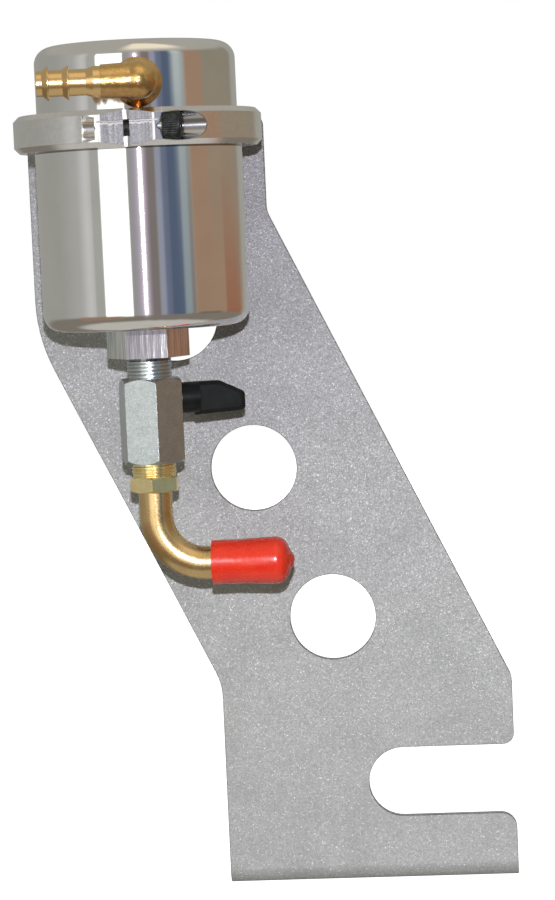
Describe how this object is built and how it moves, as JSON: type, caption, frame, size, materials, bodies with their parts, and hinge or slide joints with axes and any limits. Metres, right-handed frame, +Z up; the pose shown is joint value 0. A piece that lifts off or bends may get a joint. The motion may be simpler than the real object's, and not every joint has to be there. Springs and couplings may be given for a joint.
{
  "type": "oil catch can",
  "caption": "Round polished catch can with a screw-in lid and brass hose elbows, held by a split clamp ring on a tall slotted sheet bracket, with a drain valve, bent tube and cap.",
  "frame": {"origin": "middle of the underside of the bracket's bottom flange, between its two bolt holes", "axes": "+Z up along the bracket, +X to the right of someone facing the can, +Y from the can to the bracket"},
  "size_m": [0.187, 0.1436, 0.341],
  "materials": {
    "bare_steel": "satin, finely grained, oiled bare sheet",
    "turned_aluminium": "turned bright",
    "black_oxide": "black oxide, satin",
    "zinc_steel": "bright zinc",
    "polished_aluminium": "mirror polished",
    "seal_rubber": "matte",
    "forged_brass": "forged and tumbled, fine grain",
    "steel_mesh": "knitted wire pad",
    "nickel_plate": "plated, finely grained",
    "white_seat": "smooth",
    "black_plastic": "moulded, satin",
    "turned_brass": "turned bright",
    "polished_brass": "drawn and polished",
    "red_vinyl": "soft, glossy"
  },
  "bodies": {
    "can": {"bracket": "bare_steel", "clamp_ring": "turned_aluminium", "clamp_screw": "black_oxide", "bracket_screws": "zinc_steel", "bracket_washers": "zinc_steel", "can_body": "polished_aluminium", "drain_bung": "polished_aluminium", "bung_o_ring": "seal_rubber", "valve_body": "nickel_plate", "valve_seats": "white_seat", "seat_retainer": "nickel_plate", "drain_adapter": "turned_brass", "drain_tube": "polished_brass"},
    "lid": {"lid": "polished_aluminium", "lid_o_ring": "seal_rubber", "inlet_elbow": "forged_brass", "outlet_elbow": "forged_brass", "inlet_tube": "zinc_steel", "baffle_plate": "turned_aluminium", "separator_mesh": "steel_mesh", "mesh_retainer": "zinc_steel"},
    "handle": {"valve_handle": "black_plastic", "valve_stem": "nickel_plate", "stem_o_ring": "seal_rubber", "valve_ball": "nickel_plate"},
    "cap": {"drain_cap": "red_vinyl"}
  },
  "joints": [
    {"name": "lid_lift", "type": "slide", "parent": "can", "child": "lid", "axis": [0, 0, 1], "range_m": [0, 0.045]},
    {"name": "handle_turn", "type": "hinge", "parent": "can", "child": "handle", "pos_m": [-0.0773, -0.0672, 0.2046], "axis": [0.9613, 0.2756, 0], "range_deg": [0, 90]},
    {"name": "cap_pull", "type": "slide", "parent": "can", "child": "cap", "axis": [1, 0, 0], "range_m": [0, 0.035]}
  ]
}
